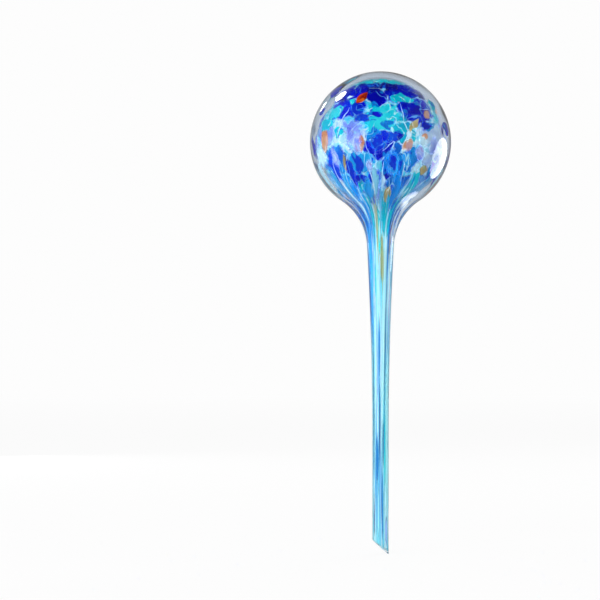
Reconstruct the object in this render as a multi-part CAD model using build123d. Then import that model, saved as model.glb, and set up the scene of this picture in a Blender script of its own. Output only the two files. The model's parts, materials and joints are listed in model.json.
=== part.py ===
from build123d import *
import math
import os

# A blown glass watering globe: bulb up, stem down, with the soil line of the stem at the origin.
# Lengths are in millimetres and angles in degrees.

# Driving sizes of the blown shape
overall_length = 260.0
bulb_diameter = 76.0
shoulder_latitude = -56.4
stem_flare_radius = 1900.0
soil_length = 62.0
stem_diameter = 8.8
tip_angle = 42.0

# Thickness of the glass, layer by layer from the outside in
casing_bulb_wall = 3.6
casing_stem_wall = 0.6
chip_thickness = 0.5
patch_thickness = 0.5
streak_thickness = 0.24
bubble_bulb_wall = 0.75
bubble_stem_wall = 0.42
fusion_gap = 0.12

# Corners of a chip or patch, and the latitude below which the colour is drawn out to streaks
round_sides = 8
lens_sides = 6
streak_latitude = -48.0

# Second pick-up, the chips: bearing from the front, latitude, width, length and lean to the right.
# Every angle is an arc on the bulb, because the chips stretch with it as it is blown.
# The list covers half the bulb, and the other half repeats it.
chip_angles = {
    "navy": [(-70, 46, 12, 20, 80), (-43, 44, 12, 19, 75), (-19, 53, 9, 15, 85), (9, 53, 10, 15, 95),
             (36, 51, 11, 15, 100), (63, 46, 12, 18, 105)],
    "cobalt": [(-6, 37, 16, 15, 0), (-25, 24, 13, 15, 60), (32, 28, 9, 18, 85), (-3, -10, 8, 18, 90),
               (13, 1, 10, 11, 20), (5, -26, 9, 20, 0), (-50, -20, 9, 27, -8), (-22, -37, 12, 14, 20),
               (-69, 20, 12, 16, 20), (74, 13, 12, 17, 0), (70, -26, 10, 22, 5), (-82, -8, 11, 20, 0),
               (6, 13, 6, 7, 0), (-4, 22, 6, 6, 0)],
    "azure": [(-7, 3, 13, 14, 0), (48, 11, 9, 13, 90), (17, -27, 11, 22, 0), (-26, -18, 12, 18, -5),
              (20, 21, 7, 8, 30), (56, -24, 10, 19, 0), (-39, -38, 9, 18, -15), (86, -12, 11, 21, 0),
              (-66, -38, 10, 16, 0)],
    "turquoise": [(21, 39, 8, 15, 80), (-48, 22, 11, 18, 25), (37, -40, 10, 13, 0), (56, 29, 9, 13, 10),
                  (88, 36, 12, 16, 0), (-42, 5, 7, 12, 20)],
    "lilac": [(-30, 4, 9, 15, 0), (35, -13, 9, 12, 0), (53, -5, 8, 16, 0), (-70, -2, 8, 16, 0),
              (68, -4, 8, 15, 0), (-5, -41, 8, 11, 0)],
}

# Chips that were drawn out to pointed lenses, listed the same way
lens_angles = {
    "salmon": [(-58, 3, 7, 19, 5), (23, -7, 8, 12, 25), (40, 2, 8, 7, 0), (46, 22, 9, 6, 60),
               (-18, -3, 6, 12, 0), (82, -36, 7, 12, 0), (-86, -36, 7, 13, 10)],
    "coral": [(-22, 38, 6, 12, 25), (76, 31, 6, 11, 15)],
    "gold": [(30, 12, 5, 14, 35), (44, -26, 7, 7, 30), (-37, -20, 4, 13, 0), (-76, -27, 5, 13, 10)],
}

# First pick-up, the broad patches under the chips, listed the same way
patch_angles = {
    "navy": [(-67, 47, 18, 28, 90), (-22, 47, 18, 28, 90), (23, 47, 18, 28, 90), (68, 47, 18, 28, 90)],
    "cobalt": [(-37, 26, 18, 29, 90), (37, 26, 18, 28, 90), (-2, -5, 23, 19, 90), (-18, -39, 16, 25, 90)],
    "azure": [(-88, 4, 20, 26, 0), (-54, -17, 24, 20, 0), (-20, -20, 20, 18, 0), (20, -19, 22, 19, 0),
              (17, -39, 16, 22, 90), (-86, -18, 18, 15, 0), (52, -39, 16, 23, 90), (-52, -39, 16, 23, 90)],
    "turquoise": [(0, 20, 22, 29, 90), (-73, 25, 18, 29, 90), (72, 26, 18, 28, 90), (20, 3, 17, 16, 0),
                  (-90, -39, 16, 22, 90), (0, 69, 14, 19, 90), (-60, 69, 14, 19, 90)],
    "lilac": [(-31, 5, 21, 18, 0), (-59, 5, 20, 18, 0), (52, 4, 30, 18, 0), (56, -18, 24, 17, 0),
              (60, 69, 14, 19, 90)],
}
crown_angles = (0, 90, 17, 17, 0)

# Streaks of half the stem from the left round the front to the right, and the other half repeats them.
# Each column gives its colours from the bulb down, with the share of the way to the tip where each ends.
streak_column_ratios = [
    [("azure", 0.36), ("aqua", 1.0)],
    [("cobalt", 0.22), ("azure", 0.44), ("aqua", 0.78), ("opal", 1.0)],
    [("azure", 0.17), ("turquoise", 0.30), ("aqua", 0.58), ("azure", 1.0)],
    [("gold", 0.21), ("aqua", 0.36), ("cobalt", 0.63), ("azure", 1.0)],
    [("turquoise", 0.12), ("gold", 0.26), ("aqua", 0.70), ("azure", 1.0)],
    [("azure", 0.15), ("aqua", 0.52), ("turquoise", 0.82), ("aqua", 1.0)],
    [("cobalt", 0.19), ("opal", 0.40), ("aqua", 1.0)],
    [("azure", 0.10), ("opal", 0.46), ("aqua", 0.86), ("opal", 1.0)],
]
half_turn_angles = (0, 180)

# Places along the axis, and radii that follow from the sizes
tip_height = -soil_length
bulb_height = overall_length - soil_length - bulb_diameter / 2
colour_thickness = chip_thickness + fusion_gap + patch_thickness


def wall_surface(outer, bulb_step, stem_step):
    """Radii of the next surface inwards: bulb, stem flare and stem."""
    bulb, flare, stem = outer
    return bulb - bulb_step, flare + stem_step, stem - stem_step


def neck_arc(surface):
    """Centre and radius of the neck, which touches the bulb at the shoulder and the stem flare from inside."""
    bulb, flare, stem = surface
    across = math.cos(math.radians(shoulder_latitude))
    down = math.sin(math.radians(shoulder_latitude))
    flare_x = stem + flare
    reach = flare + bulb
    from_bulb = (reach**2 - flare_x**2 - bulb_height**2) / (2 * (reach - flare_x * across + bulb_height * down))
    return from_bulb * across, bulb_height + from_bulb * down, from_bulb - bulb


def half_section(surface):
    """Half of the section enclosed by a wall surface, from the axis outwards."""
    bulb, flare, stem = surface
    neck_x, neck_z, neck = neck_arc(surface)
    flare_angle = math.degrees(math.atan2(neck_z, neck_x - stem - flare))
    neck_start = shoulder_latitude + 180
    outline = [
        CenterArc((0, bulb_height), bulb, 90, shoulder_latitude - 90),
        CenterArc((neck_x, neck_z), neck, neck_start, flare_angle - neck_start),
        CenterArc((stem + flare, 0), flare, flare_angle, 180 - flare_angle),
        Line((stem, 0), (stem, tip_height)),
        Line((stem, tip_height), (0, tip_height)),
        Line((0, tip_height), (0, bulb_height + bulb)),
    ]
    return make_face(outline)


def tip_waste():
    """Block below the slanted cut of the tip, whose lowest point is on the right."""
    reach = stem_diameter / math.cos(math.radians(tip_angle))
    block = Box(4 * reach, 4 * reach, 2 * reach, align=(Align.CENTER, Align.CENTER, Align.MAX))
    return Pos(stem_diameter / 2, 0, tip_height) * Rot(0, tip_angle, 0) * block


def band_of(section, low, high):
    """The stretch of a half section between two heights."""
    return section & (Pos(bulb_diameter / 2, (low + high) / 2) * Rectangle(bulb_diameter, high - low))


def gather(outer, inner):
    """One gather of clear glass between two surfaces, parted into bulb, neck and stem, open at the cut tip."""
    section = half_section(outer) - half_section(inner)
    heights = {
        "bulb": (shoulder_height, bulb_height + outer[0]),
        "neck": (stem_top_height, shoulder_height - fusion_gap),
        "stem": (tip_height, stem_top_height - fusion_gap),
    }
    waste = tip_waste()
    pieces = {}
    for stretch, (low, high) in heights.items():
        wall = revolve(Plane.XZ * band_of(section, low, high), Axis.Z) - waste
        pieces[stretch] = wall.solid()
    return pieces


def bulb_shell(outer_radius, thickness):
    """Round layer of the bulb that chips or patches are taken from."""
    return Pos(0, 0, bulb_height) * (Sphere(outer_radius) - Sphere(outer_radius - thickness))


def frit_piece(shell, radius, sides, place):
    """One chip or patch: an outline seen straight on, carried out from the bulb's centre through a layer."""
    bearing, latitude, width, length, lean = place
    turn = math.radians(bearing)
    rise = math.radians(latitude)
    outward = (math.sin(turn) * math.cos(rise), -math.cos(turn) * math.cos(rise), math.sin(rise))
    facing = Plane((0, 0, bulb_height), x_dir=(math.cos(turn), math.sin(turn), 0), z_dir=outward)
    half_width = radius * math.sin(math.radians(width / 2))
    half_length = radius * math.sin(math.radians(length / 2))
    corners = []
    for number in range(sides):
        angle = 2 * math.pi * number / sides
        corners.append((-half_width * math.sin(angle), half_length * math.cos(angle)))
    outline = Polygon(*corners, rotation=-lean, align=None)
    return (shell & extrude(facing * outline, 2 * radius)).solid()


def frit_layer(shell, radius, sides, colours):
    """All pieces of one pick-up, sorted by colour."""
    pieces = {}
    for colour, places in colours.items():
        pieces[colour] = []
        for bearing, *rest in places:
            for half in half_turn_angles:
                pieces[colour].append(frit_piece(shell, radius, sides, (bearing + half, *rest)))
    return pieces


def streak_layer(outer, inner):
    """All drawn-out streaks between two surfaces, sorted by colour."""
    section = half_section(outer) - half_section(inner)
    waste = tip_waste()
    top = bulb_height + outer[0] * math.sin(math.radians(streak_latitude))
    drawn_length = top - tip_height
    column_angle = 180 / len(streak_column_ratios)
    gap_angle = math.degrees(2 * fusion_gap / inner[2])
    pieces = {}
    for number, column in enumerate(streak_column_ratios):
        bearing = (number + 0.5) * column_angle - 90
        start = 0.0
        for colour, end in column:
            high = top - start * drawn_length - fusion_gap
            low = top - end * drawn_length + fusion_gap
            if end == 1.0:
                low = tip_height
            band = band_of(section, low, high)
            for half in half_turn_angles:
                first_side = bearing + half - 90 - (column_angle - gap_angle) / 2
                streak = revolve(Plane.XZ * band, Axis.Z, column_angle - gap_angle)
                streak = Rot(0, 0, first_side) * streak - waste
                pieces.setdefault(colour, []).append(streak.solid())
            start = end
    return pieces


# Wall surfaces, from the outside in
casing_outside = (bulb_diameter / 2, stem_flare_radius, stem_diameter / 2)
casing_inside = wall_surface(casing_outside, casing_bulb_wall, casing_stem_wall)
colour_outside = wall_surface(casing_inside, fusion_gap, fusion_gap)
colour_inside = wall_surface(colour_outside, colour_thickness, streak_thickness)
bubble_outside = wall_surface(colour_inside, fusion_gap, fusion_gap)
bubble_inside = wall_surface(bubble_outside, bubble_bulb_wall, bubble_stem_wall)

# The clear gathers are parted where the bulb ends at the shoulder and where the neck ends at the stem
shoulder_height = bulb_height + casing_outside[0] * math.sin(math.radians(shoulder_latitude))
neck_x, neck_z, neck_radius = neck_arc(casing_outside)
stem_top_height = neck_z * stem_flare_radius / (stem_flare_radius - neck_radius)

chip_radius = colour_outside[0]
patch_radius = chip_radius - chip_thickness - fusion_gap
chip_shell = bulb_shell(chip_radius, chip_thickness)
patch_shell = bulb_shell(patch_radius, patch_thickness)

nodes = {}
for stretch, solid in gather(casing_outside, casing_inside).items():
    nodes[f"{stretch}_casing"] = [solid]
for stretch, solid in gather(bubble_outside, bubble_inside).items():
    nodes[f"{stretch}_bubble"] = [solid]
for colour, solids in frit_layer(patch_shell, patch_radius, round_sides, patch_angles).items():
    nodes[f"{colour}_patches"] = solids
nodes["turquoise_patches"].append(frit_piece(patch_shell, patch_radius, round_sides, crown_angles))
for colour, solids in frit_layer(chip_shell, chip_radius, round_sides, chip_angles).items():
    nodes[f"{colour}_chips"] = solids
for colour, solids in frit_layer(chip_shell, chip_radius, lens_sides, lens_angles).items():
    nodes[f"{colour}_chips"] = solids
for colour, solids in streak_layer(colour_outside, colour_inside).items():
    nodes[f"{colour}_streaks"] = solids

os.makedirs("parts", exist_ok=True)
for name, solids in nodes.items():
    export_step(Compound(solids), f"parts/{name}.step")
    print(name, len(solids), "solids")
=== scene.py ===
import json
import math

import bpy
import numpy as np
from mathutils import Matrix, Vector, noise


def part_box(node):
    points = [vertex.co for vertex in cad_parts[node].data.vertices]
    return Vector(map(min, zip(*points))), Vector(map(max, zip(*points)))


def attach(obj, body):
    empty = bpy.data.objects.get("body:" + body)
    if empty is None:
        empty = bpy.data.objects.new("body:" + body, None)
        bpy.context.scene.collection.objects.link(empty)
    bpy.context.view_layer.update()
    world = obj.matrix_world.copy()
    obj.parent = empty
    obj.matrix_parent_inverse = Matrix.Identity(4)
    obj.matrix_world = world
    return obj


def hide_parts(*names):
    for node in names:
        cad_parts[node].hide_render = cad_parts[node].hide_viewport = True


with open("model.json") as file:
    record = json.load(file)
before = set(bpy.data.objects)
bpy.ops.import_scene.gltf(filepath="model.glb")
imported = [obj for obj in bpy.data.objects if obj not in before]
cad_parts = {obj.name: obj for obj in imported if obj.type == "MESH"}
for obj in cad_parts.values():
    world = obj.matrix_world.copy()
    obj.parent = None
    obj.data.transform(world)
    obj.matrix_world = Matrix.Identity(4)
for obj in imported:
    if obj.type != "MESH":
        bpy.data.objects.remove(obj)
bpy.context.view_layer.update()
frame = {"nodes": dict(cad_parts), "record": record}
scene = bpy.context.scene
mm = 0.001
weldGap = 0.001 * mm
noise.seed_set(505)  # the swirls come out the same each time
print("frame:", len(frame["nodes"]), "CAD nodes")

# The blown shape, read from the frame. A wall is the radii of its bulb, its stem flare and its stem.
mounts = {mount["name"]: mount["dims"] for mount in frame["record"]["mounts"]}
bulbLow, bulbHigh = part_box("bulb_casing")
stemLow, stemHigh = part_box("stem_casing")
bulbRadius = bulbHigh.x
bulbHeight = bulbHigh.z - bulbRadius
bulbCentre = np.array((0.0, 0.0, bulbHeight))
shoulderRise = math.asin((bulbLow.z - bulbHeight) / bulbRadius)
tipHeight = stemLow.z
stemRadius = mounts["soil_stem"]["r_mm"] * mm
boreRadius = mounts["water_outlet"]["r_mm"] * mm
flareWidth = stemHigh.x - stemRadius
flareRadius = (stemHigh.z**2 + flareWidth**2) / (2 * flareWidth)

walls = {  # how far each surface lies inside the outermost one, on the bulb and on the stem
    "casingOut": (0.0, 0.0),
    "casingIn": (3.6 * mm, 0.6 * mm),
    "colourOut": (3.72 * mm, 0.72 * mm),
    "colourIn": (4.84 * mm, 0.96 * mm),
    "bubbleOut": (4.96 * mm, 1.08 * mm),
    "bubbleIn": (5.71 * mm, stemRadius - boreRadius),
}
tip = {
    "angle": math.radians(42),
    "slantFrom": tipHeight + 22 * mm,  # above this the stem is straight
    "lipDepth": 0.35 * mm,  # fire-polished lip that closes the wall
    "lipDrop": 0.265 * mm,  # the lip's round is lowered by this, so that the slanted tip ends at the CAD tip
    "lipBare": 0.45 * mm,  # the lip's own wall ends here, and the casing's inside starts above
    "lipTop": 0.55 * mm,
    "colourEnd": 0.65 * mm,  # the colour stops above the lip
}


def wallOf(name):
    bulbStep, stemStep = walls[name]
    return bulbRadius - bulbStep, flareRadius + stemStep, stemRadius - stemStep


def neckArc(wall):  # touches the bulb at the shoulder and the stem flare from inside
    bulb, flare, stem = wall
    across, down = math.cos(shoulderRise), math.sin(shoulderRise)
    flareX, reach = stem + flare, flare + bulb
    fromBulb = (reach**2 - flareX**2 - bulbHeight**2) / (2 * (reach - flareX * across + bulbHeight * down))
    return fromBulb * across, bulbHeight + fromBulb * down, fromBulb - bulb


def wallRadius(name, z):
    bulb, flare, stem = wallOf(name)
    neckX, neckZ, neck = neckArc((bulb, flare, stem))
    flareTop = neckZ * flare / (flare - neck)
    shoulder = bulbHeight + bulb * math.sin(shoulderRise)
    inFlare = stem + flare - np.sqrt(flare**2 - np.clip(z, 0, flareTop)**2)
    inNeck = neckX - np.sqrt(np.maximum(neck**2 - (z - neckZ)**2, 0))
    inBulb = np.sqrt(np.maximum(bulb**2 - (z - bulbHeight)**2, 0))
    return np.where(z < flareTop, inFlare, np.where(z < shoulder, inNeck, inBulb))


def slantTip(points):  # the stem is cut aslant, with its longest side at +X
    share = np.clip((tip["slantFrom"] - points[:, 2]) / (tip["slantFrom"] - tipHeight), 0, 1)
    moved = points.copy()
    moved[:, 2] += (stemRadius - points[:, 0]) * math.tan(tip["angle"]) * share
    return moved


drawn = {  # below the equator the colour was pulled out lengthwise, so its pattern is stretched there
    "startRise": math.radians(-6),
    "slowing": math.radians(21),
    "crawl": 0.9,  # radians of pattern per metre far down the stem
    "radius": 34 * mm,
}


def drawnPoints(points):  # where each point was before the glass was pulled
    bearing = np.arctan2(points[:, 0], -points[:, 1])
    away = np.linalg.norm(points - bulbCentre, axis=1)
    rise = np.arcsin(np.clip((points[:, 2] - bulbHeight) / np.maximum(away, 1e-6), -1, 1))
    start = drawn["startRise"]
    startHeight = bulbHeight + drawn["radius"] * math.sin(start)
    below = np.maximum(startHeight - points[:, 2], 0)
    rate = 1 / (drawn["radius"] * math.cos(start) * drawn["slowing"])
    pulled = start - drawn["slowing"] * (1 - np.exp(-below * rate)) - drawn["crawl"] * below
    rise = np.where(points[:, 2] > startHeight, rise, pulled)
    flat = np.cos(rise)
    return drawn["radius"] * np.stack((np.sin(bearing) * flat, -np.cos(bearing) * flat, np.sin(rise)), axis=1)


# Small helpers for meshes
def deselect():
    if bpy.context.object and bpy.context.object.mode != "OBJECT":
        bpy.ops.object.mode_set(mode="OBJECT")
    bpy.ops.object.select_all(action="DESELECT")


def pickOnly(piece):
    deselect()
    piece.select_set(True)
    bpy.context.view_layer.objects.active = piece


def pointsOf(piece):
    found = np.empty(len(piece.data.vertices) * 3)
    piece.data.vertices.foreach_get("co", found)
    return found.reshape(-1, 3)


def placePoints(piece, points):
    piece.data.vertices.foreach_set("co", points.ravel())
    piece.data.update()


def keepAttribute(piece, name, values):
    kind = "FLOAT_VECTOR" if values.ndim == 2 else "FLOAT"
    layer = piece.data.attributes.new(name, kind, "POINT")
    layer.data.foreach_set("vector" if values.ndim == 2 else "value", values.ravel())


def copyOf(source, name):
    piece = source.copy()
    piece.data = source.data.copy()
    piece.name = name
    scene.collection.objects.link(piece)
    return piece


def joinAs(pieces, name):
    deselect()
    for piece in pieces:
        piece.select_set(True)
    bpy.context.view_layer.objects.active = pieces[0]
    bpy.ops.object.join()
    joined = bpy.context.object
    joined.name = joined.data.name = name
    bpy.ops.object.shade_smooth()
    return joined


def finishPiece(piece, nodes, material):
    piece.data.materials.clear()
    piece.data.materials.append(material)
    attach(piece, "root")
    if nodes:
        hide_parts(*nodes)


# Small helpers for materials
def linearColour(hexValue):
    channels = [int(hexValue[i:i + 2], 16) / 255 for i in (1, 3, 5)]
    return [c / 12.92 if c <= 0.04045 else ((c + 0.055) / 1.055) ** 2.4 for c in channels] + [1.0]


def newMaterial(name):
    material = bpy.data.materials.new(name)
    material.use_nodes = True
    material.node_tree.nodes.clear()
    return material


def addNode(material, kind, settings=None, links=None):
    tree = material.node_tree
    node = tree.nodes.new("ShaderNode" + kind)
    for name, value in (settings or {}).items():
        if isinstance(name, int) or name in node.inputs:
            node.inputs[name].default_value = value
        else:
            setattr(node, name, value)
    for name, source in (links or {}).items():
        tree.links.new(source, node.inputs[name])
    return node


def attributeOf(material, name):
    return addNode(material, "Attribute", {"attribute_name": name}).outputs


def perSize(millimetres):  # pattern scale of a real size
    return 1 / (millimetres * mm)


def glassNoise(material, place, pattern):  # pattern as size in millimetres, detail and distortion
    size, detail, distortion = pattern
    settings = {"Scale": perSize(size), "Detail": detail, "Distortion": distortion}
    return addNode(material, "TexNoise", settings, {"Vector": place}).outputs


def bentPlace(material, place, pattern, reach):  # swirled places, so that patterns on them flow
    swirl = glassNoise(material, place, pattern)["Color"]
    return addNode(material, "VectorMath", {"operation": "MULTIPLY_ADD", 1: (reach, reach, reach)},
                   {0: swirl, 2: place}).outputs[0]


def spanShare(material, value, span, kind="LINEAR"):  # 0 to 1 over a span of values
    settings = {"interpolation_type": kind, "From Min": span[0], "From Max": span[1]}
    return addNode(material, "MapRange", settings, {"Value": value}).outputs[0]


def mathOf(material, operation, first, second):
    return addNode(material, "Math", {"operation": operation}, {0: first, 1: second}).outputs[0]


def addShare(material, base, value, share):  # the base and a share of the value
    return addNode(material, "Math", {"operation": "MULTIPLY_ADD", 1: share}, {0: value, 2: base}).outputs[0]


def mixColour(material, share, under, over):
    return addNode(material, "Mix", {"data_type": "RGBA", 7: over}, {0: share, 6: under}).outputs[2]


def shadeRamp(material, share, shades):  # shades as positions with linear colours, in rising order
    ramp = addNode(material, "ValToRGB", {}, {"Fac": share})
    stops = ramp.color_ramp.elements
    for stop, (position, colour) in zip(stops, (shades[0], shades[-1])):
        stop.position, stop.color = position, colour
    for position, colour in shades[1:-1]:
        stops.new(position).color = colour
    return ramp.outputs["Color"]


# Lathe-spun shells: the clear casing and the inner bubble
spun = {"turns": 144, "bulbRows": 72, "neckRows": 64, "stemRows": 96, "lipRows": 10}


def wallOutline(name, low):  # half section of a wall from its pole down
    bulb, flare, stem = wallOf(name)
    neckX, neckZ, neck = neckArc((bulb, flare, stem))
    flareTop = neckZ * flare / (flare - neck)
    outline = []
    for angle in np.linspace(math.pi / 2, shoulderRise, spun["bulbRows"]):
        outline.append((bulb * math.cos(angle), bulbHeight + bulb * math.sin(angle)))
    topAngle = math.atan2(flareTop - neckZ, -math.sqrt(neck**2 - (flareTop - neckZ)**2))
    for angle in np.linspace(shoulderRise + math.pi, topAngle % (2 * math.pi), spun["neckRows"])[1:]:
        outline.append((neckX + neck * math.cos(angle), neckZ + neck * math.sin(angle)))
    for z in np.linspace(flareTop, low, spun["stemRows"])[1:]:
        outline.append((float(wallRadius(name, np.array(z))), z))
    outline[0] = (0.0, outline[0][1])
    return outline


def spinShell(name, outline):
    deselect()
    bpy.ops.mesh.primitive_plane_add(size=mm)
    piece = bpy.context.object
    piece.name = piece.data.name = name
    bpy.ops.object.mode_set(mode="EDIT")
    bpy.ops.mesh.select_all(action="SELECT")
    bpy.ops.mesh.merge(type="CENTER")
    bpy.ops.transform.translate(value=(outline[0][0], 0, outline[0][1]))
    for (x, z), (nextX, nextZ) in zip(outline, outline[1:]):
        bpy.ops.mesh.extrude_vertices_move(TRANSFORM_OT_translate={"value": (nextX - x, 0, nextZ - z)})
    bpy.ops.mesh.select_all(action="SELECT")
    bpy.ops.mesh.spin(steps=spun["turns"], angle=2 * math.pi, center=(0, 0, 0), axis=(0, 0, 1))
    bpy.ops.mesh.select_all(action="SELECT")
    bpy.ops.mesh.remove_doubles(threshold=weldGap)
    bpy.ops.mesh.normals_make_consistent(inside=False)
    bpy.ops.object.mode_set(mode="OBJECT")
    bpy.ops.object.shade_smooth()
    placePoints(piece, slantTip(pointsOf(piece)))
    keepAttribute(piece, "drawn", drawnPoints(pointsOf(piece)))
    return piece


def lipOutline(outer, inner, depth):  # half round from the outside of a wall to its inside
    middle, half = (outer + inner) / 2, (outer - inner) / 2
    angles = np.linspace(0, math.pi, spun["lipRows"])[1:-1]
    low = tipHeight - tip["lipDrop"] + depth
    return [(middle + half * math.cos(a), low - depth * math.sin(a)) for a in angles]


casingOutline = wallOutline("casingOut", tipHeight + tip["lipDepth"])
casingOutline += lipOutline(stemRadius, boreRadius, tip["lipDepth"])
casingOutline += [(boreRadius, tipHeight + tip["lipDepth"]), (boreRadius, tipHeight + tip["lipBare"])]
fused = {  # down the neck the casing closes on the colour, and on the bulb it touches it here and there
    "from": 150 * mm,
    "to": 104 * mm,
    "depth": 0.5 * mm,
    "touchFrom": 130 * mm,
    "touchSize": 15 * mm,
    "touchReach": 1.0 * mm,
    "touchMost": 0.8 * mm,
    "closeFrom": 172 * mm,  # below this it lies closer to the colour
    "closeTo": 142 * mm,
    "closer": 0.45 * mm,
    "innerFrom": 1.8 * mm,  # deeper than this is the inside of the wall
}
casingInside = []
for x, z in wallOutline("casingIn", tipHeight + tip["lipTop"]):
    share = min(max((fused["from"] - z) / (fused["from"] - fused["to"]), 0), 1)
    casingInside.append((x - fused["depth"] * share, z))
casingOutline += casingInside[::-1]
clearCasing = spinShell("clear_casing", casingOutline)


def touchColour(piece):  # the inside of the casing swells towards the colour here and there
    points = pointsOf(piece)
    arms = points - bulbCentre
    reaches = np.linalg.norm(arms, axis=1)
    inner = reaches < bulbRadius - fused["innerFrom"]
    for i in np.flatnonzero(inner & (points[:, 2] > fused["touchFrom"])):
        z = points[i, 2]
        close = np.clip((fused["closeFrom"] - z) / (fused["closeFrom"] - fused["closeTo"]), 0, 1)
        swell = noise.noise(Vector(points[i]) / fused["touchSize"])
        dip = swell * fused["touchReach"] + close * fused["closer"]
        fade = min((z - fused["touchFrom"]) / fused["touchSize"], 1)
        points[i] -= arms[i] / reaches[i] * np.clip(dip, 0, fused["touchMost"]) * fade
    placePoints(piece, points)


touchColour(clearCasing)


def markPolish(piece):  # 1 on the outside of the wall and 0 on its inside
    points = pointsOf(piece)
    normals = np.empty(points.size)
    piece.data.vertices.foreach_get("normal", normals)
    arms = np.where((points[:, 2] > fused["touchFrom"])[:, None], points - bulbCentre, points * (1, 1, 0))
    outside = np.sum(normals.reshape(-1, 3) * arms, axis=1) > 0
    keepAttribute(piece, "polish", outside.astype(float))


markPolish(clearCasing)

bubbleEnd = tipHeight + tip["colourEnd"]
bubbleOutline = wallOutline("bubbleOut", bubbleEnd) + wallOutline("bubbleIn", bubbleEnd)[::-1]
innerBubble = spinShell("inner_bubble", bubbleOutline)
print("spun shells:", len(clearCasing.data.polygons), "and", len(innerBubble.data.polygons), "faces")

# Pebble blanks that every chip, patch and strand is pressed from: a flat cushion of radius 1 lying in XY
pebbles = {
    "chip": {"segments": 96, "rings": 10},
    "strand": {"segments": 28, "rings": 6},
    "line": {"segments": 72, "rings": 4},
}
pebbleFlatness = 0.38


def pebbleBlank(name):
    deselect()
    size = pebbles[name]
    bpy.ops.mesh.primitive_uv_sphere_add(segments=size["segments"], ring_count=size["rings"], radius=1)
    piece = bpy.context.object
    piece.name = name + "_blank"
    points = pointsOf(piece)
    return {
        "piece": piece,
        "across": points[:, 0],
        "over": points[:, 1],
        "height": np.sign(points[:, 2]) * np.abs(points[:, 2]) ** pebbleFlatness,
        "rim": np.hypot(points[:, 0], points[:, 1]),
        "angle": np.arctan2(points[:, 1], points[:, 0]),
    }


chipBlank = pebbleBlank("chip")
strandBlank = pebbleBlank("strand")
lineBlank = pebbleBlank("line")
rimAngles = np.arange(pebbles["chip"]["segments"]) * 2 * math.pi / pebbles["chip"]["segments"]


def islandsOf(nodeName):  # points of each solid in a CAD node, from a merged copy that is parted and deleted
    part = copyOf(frame["nodes"][nodeName], "parted")
    part.hide_render = part.hide_viewport = False
    pickOnly(part)
    bpy.ops.object.mode_set(mode="EDIT")
    bpy.ops.mesh.select_all(action="SELECT")
    bpy.ops.mesh.remove_doubles(threshold=weldGap)
    bpy.ops.mesh.separate(type="LOOSE")
    bpy.ops.object.mode_set(mode="OBJECT")
    parts = list(bpy.context.selected_objects)
    found = [pointsOf(each) for each in parts]
    for each in parts:
        bpy.data.objects.remove(each)
    return found


flow = {"sizes": (17 * mm, 6.5 * mm, 2.8 * mm), "reaches": (2.4 * mm, 2.4 * mm, 1.1 * mm)}


def flowOffsets(points, share):  # the same swirl in the hot glass moves every piece near it
    offsets = np.zeros_like(points)
    for i, place in enumerate(drawnPoints(points)):
        for size, reach in zip(flow["sizes"], flow["reaches"]):
            offsets[i] += np.array(noise.noise_vector(Vector(place) / size)) * reach * share
    return offsets


def wayTo(bearing, rise, halfTurn):  # direction from the bulb's centre, with 0 at the photographed side
    turn, lift = math.radians(bearing) + halfTurn, math.radians(rise)
    return np.array((math.sin(turn) * math.cos(lift), -math.cos(turn) * math.cos(lift), math.sin(lift)))


def facing(outward):  # right and up along the bulb at this direction
    right = np.array((-outward[1], outward[0], 0.0))
    if np.linalg.norm(right) < 1e-3:
        right = np.array((1.0, 0.0, 0.0))
    right /= np.linalg.norm(right)
    return right, np.cross(outward, right)


def placeOf(points):  # where a chip or patch lies, how far it reaches each way and how thick it is
    arms = points - bulbCentre
    reaches = np.linalg.norm(arms, axis=1)
    outward = arms.mean(axis=0)
    outward /= np.linalg.norm(outward)
    right, up = facing(outward)
    plan = np.stack((arms @ right, arms @ up), axis=1)
    plan -= (plan.max(axis=0) + plan.min(axis=0)) / 2
    _, turned = np.linalg.eigh(np.cov(plan.T))
    axes = [turned[0, i] * right + turned[1, i] * up for i in (0, 1)]
    halves = np.abs(plan @ turned).max(axis=0) / reaches.max()
    return {"outward": outward, "axes": axes, "halves": halves,
            "radius": (reaches.max() + reaches.min()) / 2, "depth": (reaches.max() - reaches.min()) / 2}


def spreadWays(place, across, over):  # directions from the bulb's centre, at these shares of a place's reach
    spread = np.outer(across * place["halves"][0], place["axes"][0])
    spread += np.outer(over * place["halves"][1], place["axes"][1])
    angle = np.linalg.norm(spread, axis=1)
    return np.cos(angle)[:, None] * place["outward"] + np.sinc(angle / math.pi)[:, None] * spread


def sharesFrom(place, ways):  # how many of its own reaches each direction lies from a place
    along = np.clip(ways @ place["outward"], -1, 1)
    side = ways - along[:, None] * place["outward"]
    side *= (np.arccos(along) / np.maximum(np.linalg.norm(side, axis=1), 1e-9))[:, None]
    across, over = [side @ place["axes"][i] / place["halves"][i] for i in (0, 1)]
    return np.hypot(across, over)


pull = {
    "from": bulbHeight + drawn["radius"] * math.sin(math.radians(-28)),
    "slack": 8 * mm,
    "thinFrom": 137 * mm,  # drawn out so far, a chip thins away
    "thinOver": 16 * mm,
}


def layPoints(ways, radius):  # points on the bulb, drawn down into the neck at its foot
    points = bulbCentre + ways * np.reshape(radius, (-1, 1))
    below = np.maximum(pull["from"] - points[:, 2], 0)
    z = points[:, 2] - below**2 / pull["slack"]
    inner, outer = wallOf("colourIn")[0], wallOf("colourOut")[0]
    share = (radius - inner) / (outer - inner)
    wall = wallRadius("colourIn", z) * (1 - share) + wallRadius("colourOut", z) * share
    across = wall / np.maximum(np.hypot(points[:, 0], points[:, 1]), 1e-6)
    drawnOut = np.stack((points[:, 0] * across, points[:, 1] * across, z), axis=1)
    return np.where((below > 0)[:, None], drawnOut, points)


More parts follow.
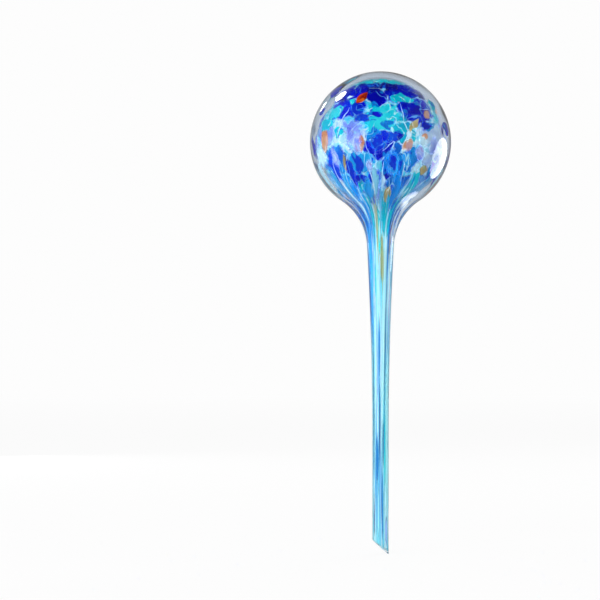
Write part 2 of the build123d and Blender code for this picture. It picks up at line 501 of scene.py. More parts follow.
growth = {
    "least": 0.55,  # shares of a patch's own reach
    "most": 1.5,
    "steps": 39,
    "nearCosine": 0.2,  # patches further round the bulb are no neighbours
    "vein": 0.01,
    "veinSway": 0.07,
    "veinSize": 9 * mm,
}
torn = {
    "sizes": (3.6 * mm, 1.5 * mm),
    "reaches": (1.5 * mm, 0.8 * mm),
    "apart": 50,  # each piece tears in its own way
}
toneScales = {"chip": 61, "strand": 900}  # cells of the noise give each piece a tone
middleTone = 0.5


def grownOutline(place, others):  # a patch melts outwards until it meets its neighbours, less half a vein
    outline = np.full(len(rimAngles), growth["least"])
    growing = np.ones(len(rimAngles), bool)
    near = [other for other in others if other is not place]
    near = [other for other in near if other["outward"] @ place["outward"] > growth["nearCosine"]]
    rimWays = spreadWays(place, np.cos(rimAngles), np.sin(rimAngles)) * bulbRadius
    veins = np.array([noise.noise(Vector(way) / growth["veinSize"]) for way in rimWays])
    veins = growth["vein"] + growth["veinSway"] * veins
    for share in np.linspace(growth["least"], growth["most"], growth["steps"]):
        ways = spreadWays(place, share * np.cos(rimAngles), share * np.sin(rimAngles))
        for other in near:
            growing &= sharesFrom(other, ways) > share + veins
        outline[growing] = share
    return outline


def tornOutline(place, outline, share):  # ragged where the glass tore as it stretched
    ways = spreadWays(place, outline * np.cos(rimAngles), outline * np.sin(rimAngles)) * place["radius"]
    reach = place["halves"].mean() * place["radius"]
    ragged = outline.copy()
    for i, way in enumerate(ways):
        for size, depth in zip(torn["sizes"], torn["reaches"]):
            spot = Vector(way) / size + Vector(place["outward"]) * torn["apart"]
            ragged[i] += noise.noise(spot) * depth * share / reach
    return ragged


def toneOf(point, scale):
    return abs(noise.cell(Vector(point) * scale)) % 1


def pressPebble(place, nodeName, look, others):  # one chip or patch laid on the bulb where its CAD solid is
    across, over = chipBlank["across"], chipBlank["over"]
    if look["pointed"]:
        across = across * np.sqrt(np.maximum(1 - over**2, 0)) * look["wide"]
    outline = grownOutline(place, others) if look["grown"] else np.full(len(rimAngles), look["grow"])
    outline = tornOutline(place, outline, look["torn"])
    outline = np.interp(chipBlank["angle"], rimAngles, outline, period=2 * math.pi)
    ways = spreadWays(place, across * outline, over * outline) * place["radius"]
    ways += flowOffsets(bulbCentre + ways, look["swirl"])
    ways /= np.linalg.norm(ways, axis=1)[:, None]
    piece = copyOf(chipBlank["piece"], nodeName)
    points = layPoints(ways, place["radius"] + place["depth"] * chipBlank["height"])
    placePoints(piece, points)
    thinned = np.clip((pull["thinFrom"] - points[:, 2]) / pull["thinOver"], 0, 1) * look["thins"]
    finishPoints(piece, chipBlank["rim"] + thinned, toneOf(place["outward"], toneScales["chip"]))
    return piece


def finishPoints(piece, rim, tone):  # what the frit glass reads from a piece
    keepAttribute(piece, "drawn", drawnPoints(pointsOf(piece)))
    keepAttribute(piece, "rim", rim)
    keepAttribute(piece, "tone", np.full(len(rim), tone))


streak = {
    "strands": (  # side and width as shares of the CAD streak's half width, length and lift of its length
        {"side": -0.66, "width": 0.34, "length": 0.92, "lift": 0.10},
        {"side": -0.05, "width": 0.44, "length": 1.22, "lift": -0.04},
        {"side": 0.62, "width": 0.30, "length": 0.84, "lift": -0.12},
    ),
    "narrow": {"cobalt": 0.6, "azure": 0.8, "gold": 0.7},  # the dark and the gold ones are drawn thinner
    "bulbFrom": bulbHeight + drawn["radius"] * math.sin(math.radians(-48)),
    "bulbLayer": (33.67 * mm, 33.77 * mm),  # above bulbFrom it thins out under the chips
    "sway": 0.16,  # radians
    "swaySize": 11 * mm,
    "paintedPaleFrom": 110 * mm,  # below this the strands are painted paler, painted light that stands in for the light the lower stem lacks
    "paintedPaleOver": 120 * mm,
    "paintedPaler": 1.1,
}


taper = {"belly": 2.4, "ends": 0.9}  # powers for a full middle and slim ends


def taperedSide(blank):  # -1 to 1 across a strand, closing to its ends
    over = np.abs(blank["over"])
    side = blank["across"] / np.sqrt(np.maximum(1 - over**2, 1e-6))
    return np.clip(side, -1, 1) * np.maximum(1 - over**taper["belly"], 0) ** taper["ends"]


def aroundStem(radius, turn, z):
    return np.stack((radius * np.sin(turn), -radius * np.cos(turn), z), axis=1)


def swayedPlaces(radius, turn, z, settings):  # points round the stem that sway as the hot glass did
    drawnFrom = drawnPoints(aroundStem(radius, turn, z))
    drift = np.array([noise.noise(Vector(point) / settings["swaySize"]) for point in drawnFrom])
    return aroundStem(radius, turn + drift * settings["sway"], z)


def pressStrand(points, nodeName, strand):  # one strand of a streak drawn down the neck or the stem
    bearing = math.atan2(points[:, 0].mean(), -points[:, 1].mean())
    around = np.arctan2(points[:, 0], -points[:, 1]) - bearing
    around = (around + math.pi) % (2 * math.pi) - math.pi
    halfAngle = np.abs(around).max()
    low, high = points[:, 2].min(), points[:, 2].max()
    z = (low + high) / 2 + strand["lift"] * (high - low)
    z = z + strandBlank["over"] * strand["length"] * (high - low) / 2
    z = np.maximum(z, tipHeight + tip["colourEnd"])
    slim = streak["narrow"].get(nodeName.split("_")[0], 1.0)
    turn = bearing + (strand["side"] + taperedSide(strandBlank) * strand["width"] * slim) * halfAngle
    share = (strandBlank["height"] + 1) / 2
    radius = wallRadius("colourIn", z) * (1 - share) + wallRadius("colourOut", z) * share
    thin = streak["bulbLayer"][0] * (1 - share) + streak["bulbLayer"][1] * share
    onBulb = np.sqrt(np.maximum(thin**2 - (z - bulbHeight) ** 2, 0))
    radius = np.where(z > streak["bulbFrom"], onBulb, radius)
    laid = swayedPlaces(radius, turn, z, streak)
    piece = copyOf(strandBlank["piece"], nodeName)
    placePoints(piece, slantTip(laid))
    middle = laid.mean(axis=0)
    # painted light: strands low on the stem get a paler tone in place of light that does not reach them
    paintedPaler = np.clip((streak["paintedPaleFrom"] - laid[:, 2].mean()) / streak["paintedPaleOver"], 0, 1) * streak["paintedPaler"]
    finishPoints(piece, strandBlank["rim"], toneOf(middle, toneScales["strand"]) + paintedPaler)
    return piece


lines = {
    "lift": 0.03 * mm,  # how far a line lies over the streaks
    "half": 0.02 * mm,  # half of its thickness
    "sway": 0.05,  # radians
    "swaySize": 9 * mm,
    "runs": {  # bearing in degrees, half width, top and bottom in millimetres
        "azure": (
            (-64, 0.55, 112, 30), (-66, 0.40, 36, -34), (35, 0.62, 126, 70), (-9, 0.45, 68, 30),
            (-29, 0.85, 6, -27), (15, 0.50, -14, -58), (83, 0.90, 104, 72), (28, 0.25, 30, -14),
            (-84, 0.90, 122, 40), (36, 0.30, 80, 26),
        ),
        "cobalt": (
            (-8, 0.36, 36, -21), (-56, 0.30, -30, -59), (34, 0.22, 66, 40), (88, 0.50, 96, 60),
            (-74, 0.50, 110, 56), (40, 0.30, 118, 88),
        ),
        "turquoise": ((-62, 0.70, 84, -30), (32, 0.50, 92, 6), (20, 0.42, 14, -20), (-60, 0.45, -20, -60)),
        "salmon": ((46, 0.42, 124, 94), (-88, 0.45, 116, 96)),
        "gold": ((3, 0.75, 114, 82), (-15, 0.5, 124, 98), (8, 0.30, 106, 76)),
        "aqua": ((-43, 0.36, 76, -8), (15, 0.40, 62, 0), (-19, 0.36, -22, -60), (56, 0.95, 64, -56)),
        "lilac": ((-25, 0.45, 74, 8), (48, 0.85, -40, -60), (58, 0.40, 88, 30), (-36, 0.50, 106, 62)),
    },
}


def pressLines(colour):  # fine lines drawn down the neck and the stem, the same on the front and the back
    laid = []
    for halfTurn in (0, math.pi):
        for bearing, width, top, bottom in lines["runs"][colour]:
            z = (top + bottom) / 2 * mm + lineBlank["over"] * (top - bottom) / 2 * mm
            z = np.maximum(z, tipHeight + tip["colourEnd"])
            radius = wallRadius("colourOut", z) + lines["lift"] + lines["half"] * lineBlank["height"]
            turn = math.radians(bearing) + halfTurn + taperedSide(lineBlank) * width * mm / radius
            piece = copyOf(lineBlank["piece"], colour + "_line")
            placePoints(piece, slantTip(swayedPlaces(radius, turn, z, lines)))
            finishPoints(piece, lineBlank["rim"], middleTone)
            laid.append(piece)
    return joinAs(laid, colour + "_lines")


threads = {
    "layer": (34.29 * mm, 34.38 * mm),  # just under the clear casing
    "swirl": 0.5,
    "ends": 0.25,  # shares of the half width at the ends and in turn along the thread
    "beads": (0.7, 1.25),
    "thin": 0.5,  # how thin the white is, and how far that comes and goes along a thread
    "breaks": 0.7,
    "breakSize": 6 * mm,
    "routes": (  # half width in millimetres, then bearing and rise in degrees along each thread
        (0.26, ((-33, 27), (-35, 21), (-39, 13), (-42, 7), (-43, 1))),
        (0.15, ((-26, 10), (-29, 2), (-30, -6), (-33, -14), (-37, -23), (-41, -33), (-42, -44))),
        (0.14, ((-6, 20), (-14, 17), (-20, 12), (-26, 9), (-32, 4))),
        (0.14, ((-13, 6), (-14, -1), (-13, -8), (-11, -13))),
        (0.18, ((-9, -14), (-3, -13), (2, -10), (5, -7), (9, -4), (13, 1))),
        (0.12, ((-16, 48), (-8, 50), (0, 47), (3, 40), (3, 34))),
        (0.20, ((-2, 28), (3, 33), (8, 31), (9, 27), (6, 24), (1, 23))),
        (0.28, ((20, 32), (19, 23), (20, 17), (21, 10), (23, 6))),
        (0.12, ((-30, -9), (-23, -7), (-17, -6))),
        (0.22, ((-15, -20), (-12, -28), (-9, -36), (-7, -50), (-8, -60))),
        (0.20, ((1, -22), (0, -30), (-1, -40), (-1, -56))),
        (0.18, ((20, -13), (23, -21), (22, -31), (21, -44), (24, -56))),
        (0.18, ((39, 26), (47, 27), (51, 23), (53, 17))),
        (0.26, ((24, 6), (22, 0), (19, -6), (19, -12))),
        (0.18, ((-50, -20), (-50, -30), (-48, -42), (-52, -56))),
        (0.16, ((-30, -30), (-28, -40), (-26, -54))),
        (0.22, ((61, 22), (64, 14), (66, 7))),
        (0.50, ((38, -34), (40, -44), (44, -54), (48, -62), (48, -68))),
    ),
}


def opalThreads():  # white threads trailed over the chips, the same on the front and the back
    curve = bpy.data.curves.new("opal_threads", "CURVE")
    curve.dimensions = "3D"
    curve.bevel_depth = mm
    curve.bevel_resolution = 1
    curve.resolution_u = 8
    middle = sum(threads["layer"]) / 2
    for halfTurn in (0, math.pi):
        for width, route in threads["routes"]:
            spline = curve.splines.new("NURBS")
            spline.points.add(len(route) - 1)
            for i, (bearing, rise) in enumerate(route):
                spline.points[i].co = (*(bulbCentre + middle * wayTo(bearing, rise, halfTurn)), 1)
                bead = threads["ends"] if i in (0, len(route) - 1) else threads["beads"][i % 2]
                spline.points[i].radius = width * bead
            spline.order_u = 3
            spline.use_endpoint_u = True
    piece = bpy.data.objects.new("opal_threads", curve)
    scene.collection.objects.link(piece)
    pickOnly(piece)
    bpy.ops.object.convert(target="MESH")
    piece = bpy.context.object
    bpy.ops.object.mode_set(mode="EDIT")
    bpy.ops.mesh.select_all(action="SELECT")
    bpy.ops.mesh.select_non_manifold()
    bpy.ops.mesh.edge_face_add()
    bpy.ops.mesh.select_all(action="SELECT")
    bpy.ops.mesh.normals_make_consistent(inside=False)
    bpy.ops.object.mode_set(mode="OBJECT")
    points = pointsOf(piece)
    arms = points + flowOffsets(points, threads["swirl"]) - bulbCentre
    reaches = np.linalg.norm(arms, axis=1)
    deep = np.clip(np.linalg.norm(points - bulbCentre, axis=1), *threads["layer"])
    placePoints(piece, layPoints(arms / reaches[:, None], deep))
    shows = [noise.noise(Vector(point) / threads["breakSize"]) * threads["breaks"] for point in points]
    finishPoints(piece, threads["thin"] + np.array(shows), middleTone)
    bpy.ops.object.shade_smooth()
    return piece


lensColours = ("salmon", "coral", "gold")
wisps = {
    "radius": 34.32 * mm,
    "depth": 0.03 * mm,
    "lifts": {"cobalt": 0.04 * mm},  # the dark ones lie over the others
    "look": {"grown": False, "grow": 1.0, "torn": 1.2, "swirl": 0.8, "pointed": False, "thins": 0.0},
    "lensLook": {
        "grown": False, "grow": 1.0, "torn": 0.2, "swirl": 0.0, "pointed": True, "wide": 1.0, "thins": 0.0,
    },
    "spots": {  # bearing and rise in degrees, half width and half height in millimetres, then lean in degrees
        "opal": (
            (-64, -15, 5.6, 6.4, 0), (-74, -28, 3.4, 7.5, -6), (76, -30, 3.2, 7.5, 6),
            (-38, 1, 2.6, 5.4, 12), (39, -4, 3.4, 3.0, 0), (34, -25, 2.4, 4.0, 0),
            (-35, 40, 1.8, 1.4, 60), (24, 2, 1.2, 4.2, 15), (53, -50, 2.6, 8.5, 0),
            (-46, -42, 1.6, 6.0, -8), (-5, -50, 1.0, 7.0, 0),
        ),
        "aqua": (
            (-7, -34, 2.2, 6.0, 0), (-2, -46, 1.8, 7.0, 0), (-66, 0, 2.4, 4.0, 0),
            (-86, -34, 3.0, 7.0, 4), (90, -36, 2.8, 7.0, 0),
        ),
        "turquoise": (
            (-56, 60, 6.0, 3.2, 0), (-28, 60, 6.0, 3.0, 0), (0, 61, 6.0, 3.2, 0), (28, 60, 6.0, 3.0, 0),
            (56, 60, 6.0, 3.2, 0), (-30, 32, 2.0, 1.5, 30), (30, 37, 3.6, 1.8, -10),
            (11, 13, 2.2, 3.4, 0), (19, 18, 3.6, 1.8, 0), (-54, 13, 4.6, 4.6, 25),
            (-24, -46, 2.2, 7.0, 0), (-8, -54, 2.4, 6.0, 0), (12, -48, 3.0, 7.0, 0),
            (30, -50, 1.6, 6.0, 0), (38, -33, 2.8, 3.6, 0),
        ),
        "azure": (
            (10, -23, 5.4, 7.0, 0), (24, -17, 2.6, 5.8, -8), (-38, -42, 2.4, 5.5, 0),
            (-62, -62, 2.2, 10.0, 0), (-27, -43, 3.0, 4.0, 0), (-16, -38, 3.0, 4.2, 0),
            (20, -38, 3.2, 5.5, 0),
        ),
        "cobalt": (
            (-3.7, -3.7, 4.9, 6.2, 0), (10, -22, 3.4, 5.0, 0), (10.5, 0.7, 3.2, 4.0, 0),
            (-32, -27, 3.0, 6.6, -10), (-19.5, 17, 4.6, 3.0, 20), (41.5, 12, 4.2, 2.6, 0),
        ),
        "lilac": ((-21, -4, 3.0, 6.0, 0), (-47, -15, 3.4, 6.5, -8), (-12, -24, 2.6, 4.5, 0)),
        "gold": ((8.3, -41, 2.6, 2.3, 14),),
        "salmon": ((-57, -1, 3.0, 6.4, 0),),
    },
}


def pressWisps(colour):  # hazy wisps of thin glass over the chips, the same on the front and the back
    laid = []
    for halfTurn in (0, math.pi):
        for bearing, rise, width, height, lean in wisps["spots"][colour]:
            outward = wayTo(bearing, rise, halfTurn)
            right, up = facing(outward)
            along, aside = math.cos(math.radians(lean)), math.sin(math.radians(lean))
            place = {
                "outward": outward,
                "axes": (right * along - up * aside, up * along + right * aside),
                "halves": np.array((width, height)) * mm / wisps["radius"],
                "radius": wisps["radius"] + wisps["lifts"].get(colour, 0.0),
                "depth": wisps["depth"],
            }
            look = wisps["lensLook" if colour in lensColours else "look"]
            laid.append(pressPebble(place, colour + "_wisp", look, []))
    return joinAs(laid, colour + "_wisps")


# Colour glass: a frit glass for each node, in shades from the deepest to the melted edge
fritShades = {  # deepest, body, light, fleck and melted edge
    "navy": ("#01057c", "#0208b2", "#0628c4", "#0656cc", "#2f80d8"),
    "cobalt": ("#020698", "#040eb8", "#063cc6", "#0874c8", "#62aee4"),
    "azure": ("#0450b4", "#0682cc", "#20a8da", "#0638bc", "#a8e2f0"),
    "turquoise": ("#08a8c2", "#08c4d0", "#30d8dc", "#0870c6", "#d0f6f6"),
    "lilac": ("#6674dc", "#8494e4", "#b4c8f2", "#a99ad2", "#eaf4fc"),
    "salmon": ("#b9724f", "#d0946e", "#d0b0a4", "#c69a9a", "#f4e6dc"),
    "coral": ("#941804", "#d0440c", "#ea8c2c", "#e26a14", "#f4d8b8"),
    "gold": ("#86744a", "#cbb070", "#d8d0a0", "#8fae86", "#f0eedc"),
    "aqua": ("#58b4dc", "#8cd2e2", "#b0eaf0", "#d0f0f4", "#e0f6f8"),
    "opal": ("#b4e4f4", "#d6f4fa", "#ecfafd", "#e4fcfc", "#f4feff"),
    "lilac_patches": ("#7a8ee0", "#a6bcea", "#d2e8f4", "#98d0e8", "#ecf8fc"),
    "cobalt_streaks": ("#0a40b4", "#1468cc", "#3c98e0", "#0a40b4", "#8cc4ee"),
    "azure_streaks": ("#0a58b8", "#1c88cc", "#50b0e0", "#1468bc", "#a0d8ec"),
    "azure_wisps": ("#0670cc", "#0c90e0", "#34b0ec", "#0a7cd4", "#a8e2f4"),
    "cobalt_wisps": ("#0418a0", "#082cb8", "#0c50c8", "#0a64c8", "#62aee4"),
    "azure_lines": ("#1860ac", "#2c84c8", "#48a4e0", "#206cb8", "#8cc8ec"),
    "cobalt_lines": ("#142c6c", "#1c4088", "#3060a8", "#1c4890", "#6c9cd0"),
    "turquoise_lines": ("#33708e", "#4488a6", "#5c9fba", "#3c809e", "#9cccd8"),
    "aqua_lines": ("#9ce8f4", "#b4f8fc", "#ccffff", "#b4f8fc", "#e0ffff"),
    "gold_lines": ("#748250", "#98a878", "#bcc89c", "#8a9a6c", "#ccd8b4"),
    "salmon_lines": ("#6c4c5c", "#84646c", "#a0848c", "#6c4c5c", "#b4a4a8"),
    "lilac_lines": ("#84a8ec", "#9cc0f4", "#bcd8fc", "#9cb4f0", "#d4e8fc"),
    "gold_streaks": ("#8c7a52", "#b4ae84", "#c8ccaa", "#98b38c", "#e0eedc"),
}
softEdges = {  # shares of the way to the rim over which a piece thins out
    "patches": (0.76, 1.04),
    "chips": (0.90, 1.04),
    "streaks": (0.45, 1.0),
    "wisps": (0.35, 1.0),
    "threads": (0.45, 0.9),
    "lines": (0.4, 1.0),
    "turquoise_wisps": (0.6, 1.0),
    "cobalt_wisps": (0.55, 1.0),
    "salmon_chips": (0.6, 1.02),
    "lilac_wisps": (0.0, 0.9),
    "lilac_patches": (0.45, 1.0),
    "lilac_chips": (0.55, 1.0),
    "gold_wisps": (0.8, 1.02),
    "salmon_wisps": (0.8, 1.02),
}
frit = {
    "warp": (7.0, 2.0, 0.0),  # size in millimetres, detail and distortion of each pattern
    "cloud": (10.0, 4.0, 0.5),
    "fleck": (4.4, 1.5, 0.9),
    "wisp": (9.0, 2.0, 0.4),
    "melt": (6.0, 1.0, 0.0),
    "thin": (2.6, 2.0, 0.0),
    "warpReach": 3.5 * mm,
    "toneShare": 0.26,  # how far a piece's own tone moves its shade
    "shadesAt": (0.47, 0.63, 0.84),  # deepest, body and light
    "flecksAt": (0.60, 0.65),
    "wispAt": 0.5,
    "wispWidth": 0.009,
    "meltAt": (0.46, 0.58),
    "edgeAt": (0.92, 1.0),  # shares of the way to the rim
    "thinReach": 0.5,
}


def fritGlass(colour, kind):  # colour frit melted in, clouded and flecked, with pale wisps and a pale edge
    name = colour + "_" + kind
    material = newMaterial(name + "_frit_glass")
    shades = fritShades.get(name, fritShades[colour])
    deep, body, light, fleck, edge = [linearColour(shade) for shade in shades]
    place = attributeOf(material, "drawn")["Vector"]
    rim = attributeOf(material, "rim")["Fac"]
    tone = attributeOf(material, "tone")["Fac"]
    bent = bentPlace(material, place, frit["warp"], frit["warpReach"])
    cloud = glassNoise(material, bent, frit["cloud"])["Fac"]
    toned = addShare(material, cloud, tone, frit["toneShare"])
    clouded = shadeRamp(material, toned, list(zip(frit["shadesAt"], (deep, body, light))))
    spots = glassNoise(material, bent, frit["fleck"])["Fac"]
    flecked = mixColour(material, spanShare(material, spots, frit["flecksAt"]), clouded, fleck)
    ridge = glassNoise(material, bent, frit["wisp"])["Fac"]
    onRidge = addNode(material, "Math", {"operation": "COMPARE", 1: frit["wispAt"], 2: frit["wispWidth"]},
                      {0: ridge}).outputs[0]
    broken = glassNoise(material, place, frit["melt"])["Fac"]
    shown = spanShare(material, broken, frit["meltAt"])
    wisped = mixColour(material, mathOf(material, "MULTIPLY", onRidge, shown), flecked, edge)
    nearRim = spanShare(material, rim, frit["edgeAt"])
    melted = mixColour(material, mathOf(material, "MULTIPLY", nearRim, shown), wisped, edge)
    shader = addNode(material, "BsdfPrincipled", {"Roughness": 0.25, "IOR": 1.5, "Specular IOR Level": 0.0},
                     {"Base Color": melted})
    frayed = glassNoise(material, place, frit["thin"])["Fac"]
    ragged = addShare(material, rim, frayed, frit["thinReach"])
    softSpan = [share + frit["thinReach"] / 2 for share in softEdges.get(name, softEdges[kind])]
    thin = spanShare(material, ragged, softSpan, "SMOOTHSTEP")
    clear = addNode(material, "BsdfTransparent")
    thinned = addNode(material, "MixShader", {}, {0: thin, 1: shader.outputs[0], 2: clear.outputs[0]})
    addNode(material, "OutputMaterial", {}, {"Surface": thinned.outputs[0]})
    return material


def dressColour(piece, nodes, colour, kind):
    finishPiece(piece, nodes, fritGlass(colour, kind))
    piece.visible_shadow = False  # thin glass that lets the lamps through to the glass under it


looks = {  # how a piece is pressed; a lens is pointed, and the coral ones are the widest
    "patches": {"grown": True, "torn": 1.0, "swirl": 1.0, "pointed": False, "thins": 1.0},
    "chips": {"grown": False, "grow": 1.08, "torn": 0.6, "swirl": 0.8, "pointed": False, "thins": 1.0},
    "lenses": {
        "grown": False, "grow": 1.25, "torn": 0.2, "swirl": 0.5, "pointed": True, "wide": 1.0, "thins": 0.3,
    },
    "coral": {
        "grown": False, "grow": 1.25, "torn": 0.2, "swirl": 0.3, "pointed": True, "wide": 1.45, "thins": 0.3,
    },
}
colourNodes = sorted(name for name in frame["nodes"] if name.endswith(("_patches", "_chips", "_streaks")))
islands = {name: islandsOf(name) for name in colourNodes}
flatNodes = [name for name in colourNodes if not name.endswith("_streaks")]
places = {name: [placeOf(points) for points in islands[name]] for name in flatNodes}
allPatches = [place for name in flatNodes if name.endswith("_patches") for place in places[name]]
for nodeName in colourNodes:
    colour, kind = nodeName.rsplit("_", 1)
    pressed = []
    if kind == "streaks":
        for points in islands[nodeName]:
            pressed += [pressStrand(points, nodeName, strand) for strand in streak["strands"]]
    else:
        look = looks[colour if colour in looks else "lenses" if colour in lensColours else kind]
        pressed += [pressPebble(place, nodeName, look, allPatches) for place in places[nodeName]]
    piece = joinAs(pressed, nodeName + "_glass")
    dressColour(piece, [nodeName], colour, kind)
    print("pressed:", nodeName, len(pressed), "pieces", len(piece.data.polygons), "faces")
for colour in wisps["spots"]:
    dressColour(pressWisps(colour), [], colour, "wisps")
for colour in lines["runs"]:
    dressColour(pressLines(colour), [], colour, "lines")
for blank in (chipBlank, strandBlank, lineBlank):
    bpy.data.objects.remove(blank["piece"])
print("pressed:", len(wisps["spots"]), "colours of wisps and", len(lines["runs"]), "of lines")
dressColour(opalThreads(), [], "opal", "threads")
print("trailed:", 2 * len(threads["routes"]), "opal threads")


# Clear crystal: soda-lime glass gathered over the colour, with a faint blue tint where it is thick
crystal = {"absorption": 70.0, "tint": (0.08, 0.34, 0.60, 1.0)}


def clearCrystal():
    material = newMaterial("clear_crystal_glass")
    polish = attributeOf(material, "polish")["Fac"]
    settings = {
        "Base Color": (1, 1, 1, 1),
        "Transmission Weight": 1.0,
        "Roughness": 0.05,
        "IOR": 1.5,
        "Specular Tint": (0, 0, 0, 1),
        "Coat IOR": 1.4,
        "Coat Roughness": 0.04,
    }
    shader = addNode(material, "BsdfPrincipled", settings, {"Coat Weight": polish})
    tint = {"Color": crystal["tint"], "Density": crystal["absorption"]}
    inside = addNode(material, "VolumeAbsorption", tint)
    addNode(material, "OutputMaterial", {}, {"Surface": shader.outputs[0], "Volume": inside.outputs[0]})
    return material


# Opal ground: milky first gather with turquoise and periwinkle melted into it and white veins between
ground = {
    "warp": (6.0, 3.0, 0.0),  # size in millimetres, detail and distortion
    "cloud": (13.0, 4.0, 1.0),
    "warpReach": 6 * mm,
    "shades": (
        (0.30, "#2f8fe0"), (0.40, "#35c4dc"), (0.48, "#74d8e8"),
        (0.55, "#b8ecf4"), (0.63, "#64d0e8"), (0.75, "#a4b8f0"),
    ),
    "veinSize": 8.0,
    "veinWidth": 0.12,
    "veinShow": 0.8,
    "vein": "#f2fcfd",
}


def opalGround():
    material = newMaterial("marbled_opal_glass")
    place = attributeOf(material, "drawn")["Vector"]
    bent = bentPlace(material, place, ground["warp"], ground["warpReach"])
    cloud = glassNoise(material, bent, ground["cloud"])["Fac"]
    marbled = shadeRamp(material, cloud, [(at, linearColour(shade)) for at, shade in ground["shades"]])
    cells = {"feature": "DISTANCE_TO_EDGE", "Scale": perSize(ground["veinSize"])}
    fromVein = addNode(material, "TexVoronoi", cells, {"Vector": bent}).outputs["Distance"]
    fade = {"From Min": 0.0, "From Max": ground["veinWidth"], "To Min": ground["veinShow"], "To Max": 0.0}
    vein = addNode(material, "MapRange", fade, {"Value": fromVein}).outputs[0]
    veined = mixColour(material, vein, marbled, linearColour(ground["vein"]))
    shader = addNode(material, "BsdfPrincipled", {"Roughness": 0.3, "IOR": 1.5, "Specular IOR Level": 0.0},
                     {"Base Color": veined})
    addNode(material, "OutputMaterial", {}, {"Surface": shader.outputs[0]})
    return material


finishPiece(clearCasing, ["bulb_casing", "neck_casing", "stem_casing"], clearCrystal())
clearCasing.visible_shadow = False  # lamps reach the colour through the clear glass
finishPiece(innerBubble, ["bulb_bubble", "neck_bubble", "stem_bubble"], opalGround())
print("materials:", len(bpy.data.materials))

# Studio: white room with a dimmer ceiling, pale floor at the tip, soft lamps and the camera
studio = {
    "white": "#fdfdfd",
    "mattWhite": "#e4e4e4",
    "roomLight": 0.57,
    "gloss": 0.28,  # the dark side of the studio, which the polished outside mirrors
    "ceiling": 0.12,  # dim where it would only veil the dark glass of the crown
    "ceilingFrom": math.sin(math.radians(40)),
    "ceilingTo": math.sin(math.radians(52)),
    "floorSize": 6.0,
    "floorShow": 0.9,
    "floorNear": 0.1,  # metres from the object over which the floor fades to white
    "floorFar": 2.6,
    "bounces": 24,
}
world = bpy.data.worlds.new("white_room")
scene.world = world
world.use_nodes = True
world.node_tree.nodes.clear()


def seenRays(owner):  # 1 for camera and transmission rays
    paths = addNode(owner, "LightPath").outputs
    return mathOf(owner, "MAXIMUM", paths["Is Camera Ray"], paths["Is Transmission Ray"])


skyWay = addNode(world, "TexCoord").outputs["Generated"]
skyHeight = addNode(world, "SeparateXYZ", {}, {0: skyWay}).outputs["Z"]
dimming = {
    "From Min": studio["ceilingFrom"],
    "From Max": studio["ceilingTo"],
    "To Min": 1.0,
    "To Max": studio["ceiling"],
}
ceiling = addNode(world, "MapRange", dimming, {"Value": skyHeight}).outputs[0]
glossy = addNode(world, "LightPath").outputs["Is Glossy Ray"]
mirrored = addNode(world, "Math", {"operation": "MULTIPLY", 1: studio["gloss"]}, {0: ceiling}).outputs[0]
unseen = addNode(world, "MapRange", {"To Min": studio["roomLight"]},
                 {"Value": glossy, "To Max": mirrored}).outputs[0]
strength = addNode(world, "MapRange", {},
                   {"Value": seenRays(world), "To Min": unseen, "To Max": ceiling}).outputs[0]
room = addNode(world, "Background", {"Color": linearColour(studio["white"])}, {"Strength": strength})
addNode(world, "OutputWorld", {}, {"Surface": room.outputs[0]})

deselect()
bpy.ops.mesh.primitive_plane_add(size=studio["floorSize"], location=(0, 0, tipHeight))
floor = bpy.context.object
floor.name = "floor"
floorPaint = newMaterial("white_floor")
floorPlace = addNode(floorPaint, "TexCoord").outputs["Object"]
floorReach = addNode(floorPaint, "VectorMath", {"operation": "LENGTH"}, {0: floorPlace}).outputs["Value"]
fading = {
    "From Min": studio["floorNear"],
    "From Max": studio["floorFar"],
    "To Min": studio["floorShow"],
    "To Max": 1.0,
}
floorFade = addNode(floorPaint, "MapRange", fading, {"Value": floorReach}).outputs[0]
floorShare = mathOf(floorPaint, "MULTIPLY", seenRays(floorPaint), floorFade)
matt = addNode(floorPaint, "BsdfDiffuse", {"Color": linearColour(studio["mattWhite"])}).outputs[0]
plain = addNode(floorPaint, "Emission", {"Color": linearColour(studio["white"]), "Strength": 1.0}).outputs[0]
floorMix = addNode(floorPaint, "MixShader", {}, {0: floorShare, 1: matt, 2: plain})
addNode(floorPaint, "OutputMaterial", {}, {"Surface": floorMix.outputs[0]})
floor.data.materials.append(floorPaint)
floor.visible_glossy = False

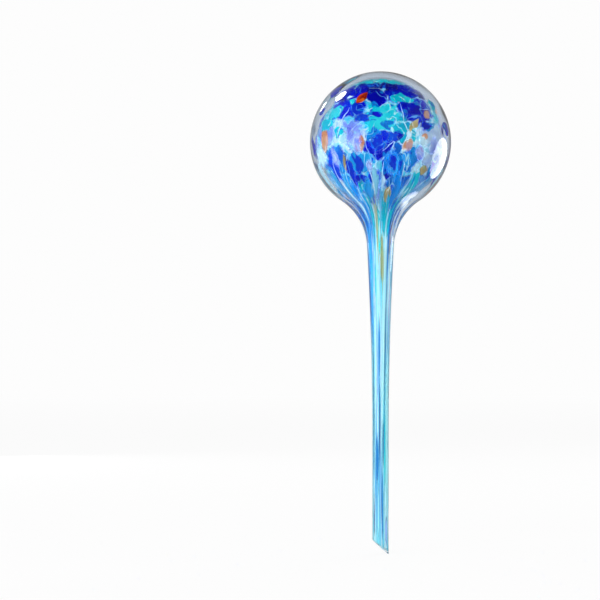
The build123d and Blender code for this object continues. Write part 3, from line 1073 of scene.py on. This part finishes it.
lampSets = {  # facing the bulb if no aim is given
    "right_softbox": {"place": (0.123, 0.040, 0.128), "size": (0.10, 0.09), "watts": 0.12},
    "shoulder_softbox": {"place": (0.077, 0.067, 0.021), "size": (0.05, 0.05), "watts": 0.0007,
                         "spread": math.radians(30), "aim": (0.014, -0.0155, 0.128)},
    "left_softbox": {"place": (-0.164, 0.092, 0.356), "size": (0.06, 0.06), "watts": 0.18},
    "edge_softbox": {"place": (-0.172, 0.230, 0.283), "size": (0.02, 0.04), "watts": 0.02},
    "key_lamp": {"place": (-0.5, -0.9, 0.9), "size": (0.8, 0.8), "watts": 6.8},
    "fill_lamp": {"place": (0.5, -0.9, 0.1), "size": (0.6, 0.6), "watts": 3.8},
    "back_lamp": {"place": (0.5, 0.9, 0.8), "size": (0.8, 0.8), "watts": 7.0},
    "back_fill_lamp": {"place": (-0.5, 0.9, 0.1), "size": (0.6, 0.6), "watts": 3.4},
    "left_lamp": {"place": (-0.95, -0.3, 0.25), "size": (0.5, 0.5), "watts": 4.0},
    "right_lamp": {"place": (0.95, 0.05, 0.25), "size": (0.5, 0.5), "watts": 2.6},
    "low_lamp": {"place": (0.1, -0.6, -0.02), "size": (0.2, 0.06), "watts": 0.175,
                 "spread": math.radians(24)},
    "stem_lamp": {"place": (0.1, -0.6, -0.02), "size": (0.2, 0.06), "watts": 0.02, "spread": math.radians(30),
                  "aim": (0, 0, -0.02)},
}
for name, lampSet in lampSets.items():
    bpy.ops.object.light_add(type="AREA", location=lampSet["place"])
    lamp = bpy.context.object
    lamp.name = name
    lamp.data.shape = "ELLIPSE"
    lamp.data.size, lamp.data.size_y = lampSet["size"]
    lamp.data.energy = lampSet["watts"]
    lamp.data.spread = lampSet.get("spread", math.pi)
    aim = Vector(lampSet.get("aim", bulbCentre))
    lamp.rotation_euler = (lamp.location - aim).to_track_quat("Z", "Y").to_euler()
    lamp.visible_camera = lamp.visible_transmission = False
    lamp.visible_glossy = name.endswith("softbox")  # it shows in the glass, a lamp only lights the colour
    lamp.visible_diffuse = not lamp.visible_glossy

view = {  # places in the photograph's 600 pixel frame
    "frame": 600,
    "axisPixel": 380.5,
    "bulbPixel": 142.0,
    "bulbPixelRadius": 70.5,
    "distance": 1.6,
}
pixel = bulbRadius / view["bulbPixelRadius"]
middle = view["frame"] / 2
cameraData = bpy.data.cameras.new("camera")
camera = bpy.data.objects.new("camera", cameraData)
scene.collection.objects.link(camera)
camera.location = (
    (middle - view["axisPixel"]) * pixel,
    -view["distance"],
    bulbHeight - (middle - view["bulbPixel"]) * pixel,
)
camera.rotation_euler = (math.pi / 2, 0, 0)
cameraData.lens = cameraData.sensor_width * view["distance"] / (view["frame"] * pixel)
scene.camera = camera
scene.view_settings.view_transform = "Standard"
scene.cycles.max_bounces = studio["bounces"]
scene.cycles.transmission_bounces = studio["bounces"]
scene.cycles.transparent_max_bounces = studio["bounces"]
print("studio and camera set")
